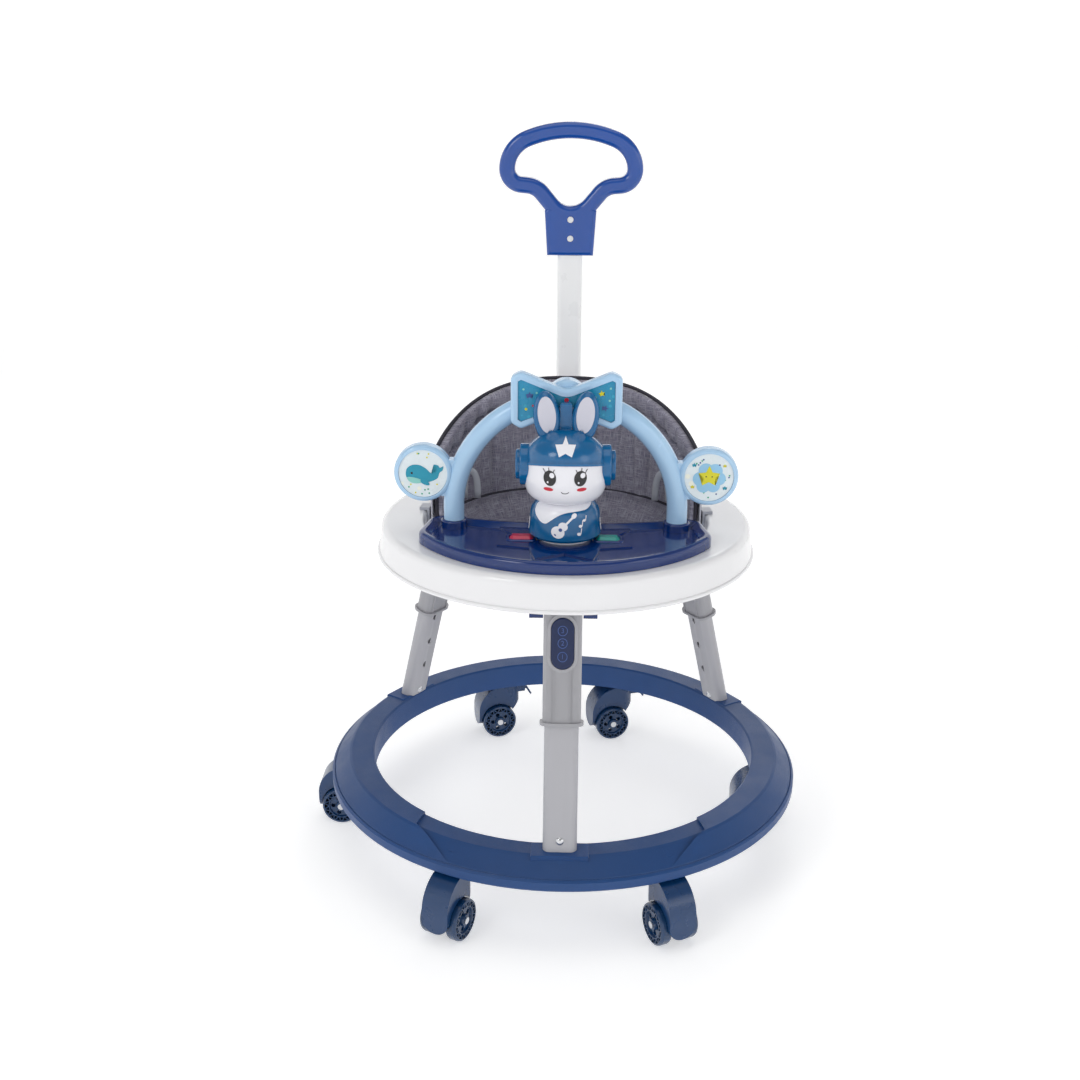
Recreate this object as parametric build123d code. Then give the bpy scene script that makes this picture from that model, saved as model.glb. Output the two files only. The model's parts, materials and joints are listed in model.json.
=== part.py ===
"""Baby walker: round base on six twin-wheel casters, three telescopic legs, tray, seat, toys, push handle.

Millimetres, +Z up. The origin is on the floor under the centre of the base ring, and -Y is the front.
Directions around the ring are given as a bearing in degrees from the front, positive towards +X.
"""

from build123d import *
from math import atan2, cos, degrees, radians, sin
import os

# ---- driving dimensions ----
# Base ring
RING_OUT = 300.0
RING_IN = 245.5
RING_LOW = 82.5
RING_TOP = 113.0
RING_RAISE = 3.3
RIDGE = 273.0
LIP_TOP = 96.5
RING_WALL = 4.5

# Casters
WHEEL_R = 25.0
WHEEL_W = 14.0
WHEEL_OFFSET = 17.0
TRAIL = 19.0
AXLE_R = 2.5
STEM_R = 5.5
RUNNING = 0.05
HOOD_TOP = 79.5
HOOD_W = 34.0
WEB_W = 19.2
CASTER_R = 273.0
# name, bearing of the swivel on the ring, heading of the trailing wheel in degrees from +X, brake
CASTERS = [
    ("front_left", -26.0, -116.0, False),
    ("front_right", 26.0, -64.0, False),
    ("left", -90.0, 180.0, False),
    ("right", 90.0, 180.0, False),
    ("rear_left", -162.0, 198.0, True),
    ("rear_right", 162.0, 198.0, True),
]
LEVER_X = -18.0
LEVER_Z = 71.0

# Legs: each leans inwards from its foot on the ring
LEAN = 15.0
LEG_R = 257.0
FOOT_Z = 115.0
LEGS = [("front", 0.0), ("right", 124.0), ("left", -124.0)]
TUBE_W, TUBE_D, TUBE_WALL = 39.0, 20.0, 2.0
TUBE_TOP_Z = 382.0
SLEEVE_W, SLEEVE_D = 43.6, 25.0
SLEEVE_GAP = 0.4
COLLAR_Z = 251.0
SLEEVE_TOP_Z = 398.0
LEVEL_STEP = 38.0
OVAL_W, OVAL_H = 26.0, 58.0
OVAL_UP = 94.0

# Tray
TRAY_R = 230.6
TRAY_LOW = 388.0
TRAY_TOP = 427.0
OPENING_R = 174.0
LIP_DEPTH = 23.0

# Seat
SEAT_R = 166.0
SEAT_THICK = 12.0
SEAT_BACK_TOP = 566.0
SLING_LOW = 326.0

# Push handle
POLE_Y = 203.0
POLE_W, POLE_D = 32.4, 18.0
POLE_LOW = 385.0
GRIP_LOW = 720.0
GRIP_TOP = 887.0
GRIP_D = 27.0
GRIP_BAR = 20.6

# Toy tray
TOY_LOW = 427.3
TOY_TOP = 441.0
TOY_FLOOR = 435.2
STAGE_TOP = 437.0
TOY_CENTRE_Y = -108.0
BUTTON_X, BUTTON_Y = 50.0, -116.0

# Toy arch
ARCH_X, ARCH_Y = 132.0, -69.0
ARCH_TUBE_R = 12.2
ARCH_SPRING_Z = 459.5
DISC_X, DISC_Z, DISC_R = 167.0, 502.0, 34.4
STICKER_R = 28.8
BOW_Z = 593.5

# Rabbit toy
BODY_LOW = 442.0
NECK_Z = 484.0
HEAD_R = 48.0
BRIM_Z, BRIM_TILT = 524.0, -13.0
HELMET_RISE = 41.0
CUP_R = 24.0
EAR_TOP = 609.0


# ---- helpers ----
def solid_of_revolution(points):
    """Turns a closed outline of (radius, height) points about Z."""
    return revolve(Plane.XZ * make_face(Polyline(*points, close=True)), Axis.Z)


def bar(low, high):
    """A box between two corners."""
    size = [b - a for a, b in zip(low, high)]
    middle = [(a + b) / 2 for a, b in zip(low, high)]
    return Pos(*middle) * Box(*size)


def rod(radius, start, end):
    """A round bar from one point to another."""
    along = Vector(*end) - Vector(*start)
    return Plane(origin=start, z_dir=along).location * Cylinder(
        radius, along.length, align=(Align.CENTER, Align.CENTER, Align.MIN)
    )


def on_ring(bearing, radius, z=0.0):
    """The point at a bearing and a radius from the ring's axis."""
    return (radius * sin(radians(bearing)), -radius * cos(radians(bearing)), z)


def prism(sketch, low, high):
    """A flat outline in plan raised from one height to another."""
    return extrude(Pos(0, 0, low) * sketch, high - low)


def upright(sketch, y_front, y_back):
    """An outline drawn in X and Z, made thick along Y."""
    return extrude(Pos(0, y_back, 0) * (Plane.XZ * sketch), y_back - y_front)


def group(*solids):
    """Several solids that share one node."""
    return Compound(children=[s for item in solids for s in item.solids()])


# ---- base ring ----
def ring_outline(raise_by):
    """Half section of the moulded ring, without its underside channel."""
    ridge = RIDGE + raise_by
    return [
        (RING_IN, RING_LOW),
        (RING_IN, RING_TOP + raise_by - 2),
        (RING_IN + 2, RING_TOP + raise_by),
        (ridge - 2, RING_TOP + raise_by),
        (ridge + 1, RING_TOP + raise_by - 1.5),
        (RING_OUT - 4.5, LIP_TOP + 1.0),
        (RING_OUT - 3.6, LIP_TOP - 0.6),
        (RING_OUT - 2.6, LIP_TOP),
        (RING_OUT, LIP_TOP - 2.5),
        (RING_OUT, RING_LOW + 2),
        (RING_OUT - 1.5, RING_LOW),
    ]


def ring_channel():
    """The hollow under the ring."""
    return [
        (RING_IN + RING_WALL, RING_LOW - 1),
        (RING_IN + RING_WALL, RING_TOP - RING_WALL),
        (RIDGE - 3, RING_TOP - RING_WALL),
        (RING_OUT - 9, LIP_TOP - 4),
        (RING_OUT - 6, RING_LOW - 1),
    ]


def lowered_front():
    """Plan of the front stretch, between two slanting steps, where the ring's top is lower."""
    inner = on_ring(42, RING_IN - 8)
    ridge = on_ring(38, RIDGE)
    lip = on_ring(25, RING_OUT - 3)
    far = [lip[i] + 1.2 * (lip[i] - ridge[i]) for i in (0, 1)]
    half = [inner[:2], ridge[:2], lip[:2], tuple(far)]
    mirrored = [(-x, y) for x, y in reversed(half)]
    return make_face(Polyline(*half, (far[0], -400), (-far[0], -400), *mirrored, close=True))


def leg_plane(bearing):
    """Origin at the foot: x along the ring, -y outwards, z up along the leaning leg."""
    out = Vector(sin(radians(bearing)), -cos(radians(bearing)), 0)
    up = Vector(0, 0, cos(radians(LEAN))) - out * sin(radians(LEAN))
    return Plane(
        origin=on_ring(bearing, LEG_R, FOOT_Z),
        x_dir=(cos(radians(bearing)), sin(radians(bearing)), 0),
        z_dir=up,
    )


def along_leg(z):
    """Distance up the leg from the foot to a height above the floor."""
    return (z - FOOT_Z) / cos(radians(LEAN))


def leg_piece(bearing, shape):
    """Moves a shape from the leg's own frame to its place."""
    return leg_plane(bearing).location * shape


def base_ring():
    ring = solid_of_revolution(ring_outline(0))
    ring += solid_of_revolution(ring_outline(RING_RAISE)) - prism(lowered_front(), 0, 200)
    ring -= solid_of_revolution(ring_channel())
    for i in range(24):
        rib = bar((-1.5, -RING_OUT + 8, RING_LOW + 3), (1.5, -RING_IN - 2, LIP_TOP - 2))
        ring += Rot(0, 0, 15 * i + 7.5) * rib
    for _, bearing, _, _ in CASTERS:
        boss = Pos(*on_ring(bearing, CASTER_R, HOOD_TOP + 0.6)) * Cylinder(
            12, 25, align=(Align.CENTER, Align.CENTER, Align.MIN)
        )
        bore = Pos(*on_ring(bearing, CASTER_R, 0)) * Cylinder(
            STEM_R + RUNNING, 102, align=(Align.CENTER, Align.CENTER, Align.MIN)
        )
        ring = ring + boss - bore
    for _, bearing in LEGS:
        turn = Rot(0, 0, bearing)
        ring_top = RING_TOP + (0 if bearing == 0 else RING_RAISE)
        pad = bar((-33, -RIDGE - 4, ring_top - 8), (33, -RING_IN - 1, ring_top + 1.2))
        pad = chamfer(pad.edges().group_by(Axis.Z)[-1], 1.0)
        inner = bar((-24, -RIDGE + 2, RING_LOW + 4), (24, -RING_IN - 1, RING_TOP - 1))
        ring = ring + turn * pad + turn * inner
        pocket = extrude(RectangleRounded(TUBE_W + 0.3, TUBE_D + 0.3, 8), 60)
        ring -= leg_piece(bearing, Pos(0, 0, -15.2) * pocket)
    return ring


# ---- casters ----
def caster_plane(bearing, heading):
    """Origin on the floor under the swivel, x towards the trailing wheels, y along the axle."""
    return Plane(
        origin=on_ring(bearing, CASTER_R),
        x_dir=(cos(radians(heading)), sin(radians(heading)), 0),
        z_dir=(0, 0, 1),
    )


def caster_housing(brake):
    """Fender and web that carry the axle, with ears for a brake lever where there is one."""
    bend = 38.0
    side = make_face(
        [
            Line((-13, HOOD_TOP), (11, HOOD_TOP)),
            ThreePointArc(
                (11, HOOD_TOP),
                (11 + bend * sin(radians(45)), HOOD_TOP - bend * (1 - cos(radians(45)))),
                (11 + bend, HOOD_TOP - bend),
            ),
            Polyline(
                (11 + bend, HOOD_TOP - bend),
                (11 + bend, 17),
                (44, 17),
                (-2, 40),
                (-13, 52),
                (-13, HOOD_TOP),
            ),
        ]
    )
    hood = upright(side, -HOOD_W / 2, HOOD_W / 2)
    hood += rod(8, (TRAIL, -WEB_W / 2, WHEEL_R), (TRAIL, WEB_W / 2, WHEEL_R))
    for s in (-1, 1):
        hood -= rod(
            WHEEL_R + 1.3, (TRAIL, s * WEB_W / 2, WHEEL_R), (TRAIL, s * 30, WHEEL_R)
        )
    tongue = HOOD_W / 2
    corner = bar((30, -tongue - 1, 10), (60, tongue + 1, 17 + tongue))
    corner -= rod(tongue, (29, 0, 17 + tongue), (61, 0, 17 + tongue))
    hood -= corner
    back = bar((-14, -tongue - 1, 40), (-2, tongue + 1, HOOD_TOP + 1))
    back -= Pos(-2 + 3, 0, 0) * Cylinder(tongue, 300)
    hood -= back
    if brake:
        ear = bar((-22, 10, LEVER_Z - 4), (-4, 14, LEVER_Z + 5))
        hood += ear + mirror(ear, Plane.XZ)
        hood -= rod(1.5 + RUNNING, (LEVER_X, -20, LEVER_Z), (LEVER_X, 20, LEVER_Z))
        hood -= bar((-30, -9.6, LEVER_Z - 20), (-11.5, 9.6, HOOD_TOP + 1))
    hood -= rod(AXLE_R + RUNNING, (TRAIL, -20, WHEEL_R), (TRAIL, 20, WHEEL_R))
    hood -= rod(STEM_R + RUNNING, (0, 0, 60), (0, 0, 90))
    return hood


def caster_pins():
    """Steel swivel stem, and the axle with a domed cap at each end."""
    stem = rod(STEM_R, (0, 0, 60.5), (0, 0, 100))
    reach = WHEEL_OFFSET + WHEEL_W / 2
    axle = rod(AXLE_R, (TRAIL, -reach - 1, WHEEL_R), (TRAIL, reach + 1, WHEEL_R))
    for s in (-1, 1):
        cap = rod(4.2, (TRAIL, s * (reach + 0.3), WHEEL_R), (TRAIL, s * (reach + 1.5), WHEEL_R))
        axle += cap
    return group(stem, axle)


def caster_wheel():
    """Wheel on the Y axis with a lattice tread and a five-hole disc."""
    half = WHEEL_W / 2
    edge = [
        (AXLE_R + RUNNING, -half),
        (6.5, -half),
        (7.5, -half + 3),
        (14.6, -half + 3),
        (15.6, -half + 0.6),
        (22.0, -half),
        (24.2, -half + 0.9),
        (WHEEL_R, -half + 3),
    ]
    outline = edge + [(r, -y) for r, y in reversed(edge)]
    wheel = Rot(90, 0, 0) * solid_of_revolution(outline)
    cells = 14
    step = 360 / cells
    low, high = 16.8, 22.0
    for i in range(cells):
        a = i * step
        out = [polar(low, a), polar(high, a - step * 0.36), polar(high, a + step * 0.36)]
        back = [
            polar(high, a + step / 2),
            polar(low, a + step * 0.16),
            polar(low, a + step * 0.84),
        ]
        for cell in (out, back):
            wheel -= upright(make_face(Polyline(*cell, close=True)), -WHEEL_W, WHEEL_W)
    for i in range(5):
        x, z = polar(10.6, 72 * i)
        wheel -= rod(3.0, (x, -WHEEL_W, z), (x, WHEEL_W, z))
    return wheel


def polar(radius, degrees):
    return (radius * cos(radians(degrees)), radius * sin(radians(degrees)))


def brake_lever():
    """Foot lever on its own pin, on the side away from the wheels."""
    lever = rod(1.5, (LEVER_X, -13.8, LEVER_Z), (LEVER_X, 13.8, LEVER_Z))
    lever += rod(3.2, (LEVER_X, -9.2, LEVER_Z), (LEVER_X, 9.2, LEVER_Z))
    side = make_face(
        Polyline(
            (LEVER_X, LEVER_Z + 3.2),
            (LEVER_X - 9, LEVER_Z + 0.5),
            (LEVER_X - 16, LEVER_Z - 12),
            (LEVER_X - 13.5, LEVER_Z - 13),
            (LEVER_X - 7.5, LEVER_Z - 3),
            (LEVER_X, LEVER_Z - 0.5),
            close=True,
        )
    )
    return lever + upright(side, -9.2, 9.2)


# ---- legs ----
def leg_tube():
    """Lower tube with a row of D-shaped latch holes in its inner face."""
    length = along_leg(TUBE_TOP_Z)
    tube = extrude(RectangleRounded(TUBE_W, TUBE_D, 8), length + 15)
    bore = extrude(
        RectangleRounded(TUBE_W - 2 * TUBE_WALL, TUBE_D - 2 * TUBE_WALL, 6), length + 20
    )
    tube = Pos(0, 0, -15) * (tube - Pos(0, 0, 3) * bore)
    pitch = LEVEL_STEP / cos(radians(LEAN))
    first = along_leg(COLLAR_Z) - 9
    for i in range(-2, 4):
        half_round = make_face(
            [Line((0, -5), (0, 5)), ThreePointArc((0, 5), (5, 0), (0, -5))]
        )
        hole = upright(half_round, 6, 12)
        tube -= Pos(0, 0, first + i * pitch) * hole
    return tube - rod(2.1, (0, -20, 9), (0, 20, 9))


def leg_bolt():
    """Bolt through the foot of a leg tube with a domed head on both faces."""
    bolt = rod(2.0, (0, -11, 9), (0, 11, 9))
    for s in (-1, 1):
        head = Pos(0, 0, 9) * (
            Sphere(5.6) & bar((-6, s * 2.9, -6), (6, s * 6, 6)) if s > 0
            else Sphere(5.6) & bar((-6, -6, -6), (6, -2.9, 6))
        )
        bolt += Pos(0, s * (TUBE_D / 2 + 0.02 - 2.9), 0) * head
    return bolt


def leg_sleeve():
    """Upper sleeve that slides on the tube, with a collar at its foot."""
    low, high = along_leg(COLLAR_Z), along_leg(SLEEVE_TOP_Z)
    sleeve = Pos(0, 0, low) * extrude(RectangleRounded(SLEEVE_W, SLEEVE_D, 9.5), high - low)
    collar = extrude(RectangleRounded(SLEEVE_W + 6.4, SLEEVE_D + 6.4, 12), 4)
    collar = fillet(collar.edges().group_by(Axis.Z)[0], 1.2)
    sleeve += Pos(0, 0, low) * collar
    for x in (-SLEEVE_W / 2 + 8, SLEEVE_W / 2 - 8):
        sleeve += bar((x - 0.8, SLEEVE_D / 2 - 1, low + 3), (x + 0.8, SLEEVE_D / 2 + 1, high))
    bore = extrude(
        RectangleRounded(TUBE_W + 2 * SLEEVE_GAP, TUBE_D + 2 * SLEEVE_GAP, 8.4), 400
    )
    return sleeve, bore


def front_sleeve():
    """Front sleeve with the raised surround of the height button."""
    sleeve, bore = leg_sleeve()
    low = along_leg(COLLAR_Z)
    face = -SLEEVE_D / 2
    border = upright(SlotOverall(OVAL_H + 8, OVAL_W + 8, rotation=90), face - 2.4, face + 4)
    sleeve += Pos(0, 0, low + OVAL_UP) * border
    sleeve += bar((-8.5, face - 1.0, low + 3), (8.5, face + 1, low + OVAL_UP - 20))
    for x in (-9.3, 9.3):
        sleeve += bar((x - 0.8, face - 1.8, low + 3), (x + 0.8, face + 1, low + OVAL_UP - 20))
    recess = upright(SlotOverall(OVAL_H + 0.8, OVAL_W + 0.8, rotation=90), face - 5, face + 1.3)
    return sleeve - bore - Pos(0, 0, low + OVAL_UP) * recess


def side_sleeve():
    sleeve, bore = leg_sleeve()
    return sleeve - bore


def height_button():
    """Oval push button in the front sleeve, with a rounded face."""
    face = -SLEEVE_D / 2
    button = upright(SlotOverall(OVAL_H, OVAL_W, rotation=90), face - 3.8, face - 0.7)
    button = fillet(button.edges().group_by(Axis.Y)[0], 1.4)
    return Pos(0, 0, along_leg(COLLAR_Z) + OVAL_UP) * button


# ---- tray and seat ----
def tray_shell():
    """Round white tray: skirt with a bead, flat top, turned-down lip around the seat opening."""
    wall = 3.0
    section = FilletPolyline(
        (TRAY_R, TRAY_LOW),
        (TRAY_R - 4.5, TRAY_TOP),
        (OPENING_R, TRAY_TOP),
        (OPENING_R, TRAY_TOP - LIP_DEPTH),
        (OPENING_R + wall, TRAY_TOP - LIP_DEPTH),
        (OPENING_R + wall, TRAY_TOP - wall),
        (TRAY_R - 4.5 - wall, TRAY_TOP - wall),
        (TRAY_R - wall, TRAY_LOW),
        radius=[0.8, 9, 5, 0.8, 0.8, 2.2, 6, 0.8],
        close=True,
    )
    tray = revolve(Plane.XZ * make_face(section), Axis.Z)
    bead = Plane.XZ * (Pos(TRAY_R - 0.8, TRAY_LOW + 2.6) * Circle(2.6))
    tray += revolve(bead, Axis.Z)
    return tray - socket_block(0.2, 360, 460)


def socket_block(gap, low, high):
    """Outside of the push handle's socket, grown by a gap."""
    plan = RectangleRounded(POLE_W + 12 + 2 * gap, POLE_D + 8 + 2 * gap, 7)
    return prism(Pos(0, POLE_Y) * plan, low, high)


def pole_section(gap):
    return Pos(0, POLE_Y) * RectangleRounded(POLE_W + 2 * gap, POLE_D + 2 * gap, 6)


def handle_socket():
    socket = socket_block(0, 374, 440)
    flange = prism(Pos(0, POLE_Y) * RectangleRounded(POLE_W + 18, POLE_D + 14, 9), 427.2, 430)
    return socket + flange - prism(pole_section(0.3), 380, 450)


def seat_outline(lower_by):
    """Front view of the seat back: nearly level on top and rounded down to the sides."""
    top = SEAT_BACK_TOP - lower_by
    half = SEAT_R + 4
    crown = Spline(
        (-half + 2, top - 110),
        (-half + 10, top - 64),
        (-119, top - 22),
        (0, top),
        (119, top - 22),
        (half - 10, top - 64),
        (half - 2, top - 110),
    )
    base = Polyline(
        (half - 2, top - 110), (half - 2, 406), (-half + 2, 406), (-half + 2, top - 110)
    )
    return make_face([crown, base])


def rear_band(inner, outer, low, high):
    """Rear part of a cylinder wall around the seat opening."""
    wall = Pos(0, 0, low) * extrude(Circle(outer) - Circle(inner), high - low)
    return wall & bar((-300, 8, low - 1), (300, 300, high + 1))


def seat_back_pad():
    band = rear_band(SEAT_R - SEAT_THICK, SEAT_R, 407, SEAT_BACK_TOP + 10)
    return band & upright(seat_outline(0), 0, 300)


def seat_back_shell():
    band = rear_band(SEAT_R + 0.4, SEAT_R + 4, 407, SEAT_BACK_TOP)
    return band & upright(seat_outline(5), 0, 300)


def sling_cup(shrink, raised):
    """Solid cup through four level circles, deepest towards the rear."""
    rings = [(SLING_LOW, 68, 32), (350, 107, 14), (394, 141, 2), (406, 153, 0)]
    circles = [Pos(0, y, z + raised) * Circle(radius - shrink) for z, radius, y in rings]
    return loft(circles, ruled=True)


def seat_sling():
    """Fabric bag that hangs in the opening behind the toy tray, with two leg holes."""
    bag = sling_cup(0, 0) - sling_cup(5, 4)
    bag -= bar((-200, -300, 394), (200, -52, 450))
    for s in (-1, 1):
        bag -= rod(38, (s * 56, -62, 390), (s * 66, -142, 310))
    return bag


def seat_clips():
    """Four hooks that hold the seat's fabric to the lip of the opening."""
    clips = []
    for bearing in (97, -97, 140, -140):
        hook = bar((-9, -OPENING_R + 0.4, 408), (9, -OPENING_R + 3.4, 431))
        hook += bar((-9, -OPENING_R - 9, TRAY_TOP + 0.2), (9, -OPENING_R + 3.4, 431))
        clips.append(Rot(0, 0, bearing) * hook)
    return group(*clips)


# ---- push handle ----
def push_pole():
    pole = prism(pole_section(0), POLE_LOW, GRIP_LOW + 52)
    bore = prism(
        Pos(0, POLE_Y) * RectangleRounded(POLE_W - 4, POLE_D - 4, 4), POLE_LOW - 1, GRIP_LOW + 60
    )
    for z in (GRIP_LOW + 22, GRIP_LOW + 46):
        pole -= rod(2.1, (0, POLE_Y - 20, z), (0, POLE_Y + 20, z))
    return pole - bore


def grip_path():
    """Centre line of the loop: tangent bends and straights down one side, mirrored for the other."""
    steps = [(150, -22), (42, -40), (38, -28), (20, -85), (0, 8), (27.5, 45), (0, 18.5)]
    here, heading, side = (0.0, GRIP_TOP - GRIP_BAR / 2), 0.0, []
    for radius, turn in steps:
        along = (cos(radians(heading)), sin(radians(heading)))
        if radius:
            piece = JernArc(here, along, radius, turn)
            heading += turn
        else:
            piece = Line(here, (here[0] + turn * along[0], here[1] + turn * along[1]))
        side.append(piece)
        here = tuple(piece @ 1)[:2]
    along = (cos(radians(heading)), sin(radians(heading)))
    side.append(JernArc(here, along, -here[0] / sin(radians(heading)), -180 - heading))
    half = Curve() + side
    loop = Wire(half.edges() + mirror(half, Plane.YZ).edges())
    return Pos(0, POLE_Y, 0) * (Plane.XZ * loop)


def push_grip():
    """A loop of soft rectangular section on a square neck that takes the end of the pole."""
    front, back = POLE_Y - GRIP_D / 2, POLE_Y + GRIP_D / 2
    path = grip_path()
    section = Plane(origin=path @ 0, x_dir=(0, 1, 0), z_dir=path % 0)
    grip = sweep(section * RectangleRounded(GRIP_D, GRIP_BAR, 7.5), path)
    shoulder = GRIP_TOP - 110
    right = [(30, GRIP_LOW), (33.5, shoulder), (30, shoulder + 4)]
    left = [(-x, z) for x, z in reversed(right)]
    neck = upright(make_face(Polyline(*right, *left, close=True)), front, back)
    rims = neck.faces().group_by(Axis.Y)
    grip += fillet(rims[0].edges() + rims[-1].edges(), 5)
    grip -= prism(pole_section(0.05), GRIP_LOW - 1, GRIP_LOW + 53)
    for z in (GRIP_LOW + 22, GRIP_LOW + 46):
        grip -= rod(2.1, (0, front - 1, z), (0, POLE_Y, z))
        grip -= rod(4.3, (0, front - 1, z), (0, front + 2.4, z))
    return grip


def grip_screws():
    """Two screws that hold the grip to the pole."""
    front = POLE_Y - GRIP_D / 2
    screws = []
    for z in (GRIP_LOW + 22, GRIP_LOW + 46):
        head = rod(3.9, (0, front + 0.6, z), (0, front + 2.4, z))
        screws.append(head + rod(2.0, (0, front + 2, z), (0, POLE_Y, z)))
    return group(*screws)


# ---- toy tray ----
def toy_plan(inset):
    """Plan of the toy tray: a wide bow at the front and a shallow hollow at the rear."""
    plan = make_face(
        [
            ThreePointArc((-172, -107), (0, -211), (172, -107)),
            Line((172, -107), (160, -40)),
            ThreePointArc((160, -40), (0, -68), (-160, -40)),
            Line((-160, -40), (-172, -107)),
        ]
    )
    corners = plan.vertices().group_by(Axis.Y)
    plan = fillet(corners[0], 30)
    plan = fillet(plan.vertices().group_by(Axis.Y)[-1], 18)
    return offset(plan, -inset) if inset else plan


def star_plan(tips, outer, inner):
    """A star with straight facets around the rabbit's base."""
    corners = []
    for i in range(2 * tips):
        radius = outer if i % 2 == 0 else inner
        corners.append(polar(radius, 90 + 180 / tips + 180 * i / tips))
    return Pos(0, TOY_CENTRE_Y) * make_face(Polyline(*corners, close=True))


def button_plan(x, grow):
    return Pos(x, BUTTON_Y) * RectangleRounded(28 + 2 * grow, 16 + 2 * grow, 5)


def toy_tray():
    """Rounded rim, shallow dish, raised star, arch sockets and button wells."""
    tray = prism(toy_plan(0), TOY_LOW, TOY_TOP)
    tray = fillet(tray.edges().group_by(Axis.Z)[-1], 5)
    tray -= loft(
        [Pos(0, 0, TOY_FLOOR) * toy_plan(15), Pos(0, 0, TOY_TOP + 0.5) * toy_plan(7)], ruled=True
    )
    stage = prism(star_plan(8, 84, 58), TOY_FLOOR - 1, STAGE_TOP)
    tray += stage & prism(toy_plan(8), TOY_FLOOR - 1, TOY_TOP)
    tray -= Pos(0, TOY_CENTRE_Y, STAGE_TOP + 5) * Cylinder(31, 10)
    for s in (-1, 1):
        foot = Pos(s * ARCH_X, ARCH_Y, TOY_FLOOR - 1) * Cylinder(
            15.6, 10.5, align=(Align.CENTER, Align.CENTER, Align.MIN)
        )
        tray += fillet(foot.edges().group_by(Axis.Z)[-1], 2.4)
        tray -= Pos(s * ARCH_X, ARCH_Y, TOY_FLOOR) * Cylinder(
            ARCH_TUBE_R + 0.1, 30, align=(Align.CENTER, Align.CENTER, Align.MIN)
        )
        pod = prism(button_plan(s * BUTTON_X, 4), TOY_FLOOR - 1, STAGE_TOP + 1.4)
        tray += chamfer(pod.edges().group_by(Axis.Z)[-1], 1.3)
        tray -= prism(button_plan(s * BUTTON_X, 0.4), TOY_FLOOR - 3.4, TOY_TOP + 5)
    return tray


def toy_tray_bottom():
    """Battery and speaker box under the toy tray, inside the seat opening."""
    plan = Circle(160) & (Pos(0, -120) * Rectangle(268, 130))
    return prism(plan, 406, TOY_LOW - 0.1)


def toy_tray_clips():
    """Two spring tabs that hold the toy tray to the lip of the opening."""
    tabs = []
    for x in (-31, 31):
        tab = bar((x - 8, -167, 362), (x + 8, -163, TOY_LOW - 0.1))
        tab += bar((x - 8, -168.5, 359), (x + 8, -161, 364))
        tabs.append(tab)
    return group(*tabs)


def gem_button(x):
    """Push button with a bevelled top."""
    button = prism(button_plan(x, 0), TOY_FLOOR - 1, TOY_TOP)
    return chamfer(button.edges().group_by(Axis.Z)[-1], 3.4)


# ---- toy arch ----
def arch_path():
    """Straight feet under a half circle."""
    foot, spring, crown = (
        (ARCH_X, ARCH_Y, TOY_FLOOR + 0.1),
        (ARCH_X, ARCH_Y, ARCH_SPRING_Z),
        (0, ARCH_Y, ARCH_SPRING_Z + ARCH_X),
    )
    far_spring, far_foot = ((-x, y, z) for x, y, z in (spring, foot))
    bend = ThreePointArc(spring, crown, far_spring)
    return Wire([Line(foot, spring), bend, Line(far_spring, far_foot)])


def toy_arch():
    """Arch moulding with a round frame on each side and a cap on the crown."""
    a = ARCH_X
    path = arch_path()
    tube = sweep(Plane(origin=(a, ARCH_Y, TOY_FLOOR + 0.1), z_dir=(0, 0, 1)) * Circle(ARCH_TUBE_R), path)
    arch = Part() + tube
    for s in (-1, 1):
        disc = rod(DISC_R, (s * DISC_X, ARCH_Y - 11, DISC_Z), (s * DISC_X, ARCH_Y + 9, DISC_Z))
        disc = fillet(disc.edges().filter_by(GeomType.CIRCLE), 5)
        disc -= rod(
            STICKER_R, (s * DISC_X, ARCH_Y - 12, DISC_Z), (s * DISC_X, ARCH_Y - 8.5, DISC_Z)
        )
        arch += disc + Pos(s * (ARCH_X + 5), ARCH_Y, DISC_Z - 6) * Box(18, 14, 44)
    crown = ARCH_SPRING_Z + ARCH_X
    cap = rod(24, (0, ARCH_Y - 12.6, crown), (0, ARCH_Y + 12.6, crown))
    return arch + fillet(cap.edges().filter_by(GeomType.CIRCLE), 6)


def disc_inlays():
    """Printed round covers in the two side frames."""
    covers = [
        rod(
            STICKER_R - 0.2,
            (s * DISC_X, ARCH_Y - 9.8, DISC_Z),
            (s * DISC_X, ARCH_Y - 8.6, DISC_Z),
        )
        for s in (-1, 1)
    ]
    return group(*covers)


def bow_plan(inset):
    """Bow tie with rounded lobes and a narrow waist."""
    right = [(0, 13), (52, 34), (63.5, 28), (63.5, -26), (52, -32.5), (0, -12)]
    left = [(-x, z) for x, z in reversed(right[1:-1])]
    outline = make_face(
        FilletPolyline(*right, *left, radius=[14, 8, 8, 8, 8, 14, 8, 8, 8, 8], close=True)
    )
    plan = offset(outline, -inset) if inset else outline
    return Pos(0, BOW_Z) * plan


def bow_panel():
    back = ARCH_Y - 12.8
    panel = upright(bow_plan(0), back - 13, back)
    panel = fillet(panel.edges().group_by(Axis.Y)[0], 4)
    return panel - upright(bow_plan(8), back - 14, back - 9.5)


def bow_inlay():
    back = ARCH_Y - 12.8
    return upright(bow_plan(8.3), back - 10.8, back - 9.6)


# ---- rabbit toy ----
def toy_at(shape):
    return Pos(0, TOY_CENTRE_Y, 0) * shape


def half_ellipse(width, height, z):
    """Right half of an ellipse at a height, to be turned about Z."""
    arc = EllipticalCenterArc((0, z), width, height, start_angle=-90, arc_size=180)
    return make_face([arc, Line((0, z + height), (0, z - height))])


def rabbit_base():
    disc = Pos(0, 0, (STAGE_TOP + BODY_LOW) / 2) * Cylinder(30.7, BODY_LOW - STAGE_TOP - 0.1)
    return toy_at(disc)


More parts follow.
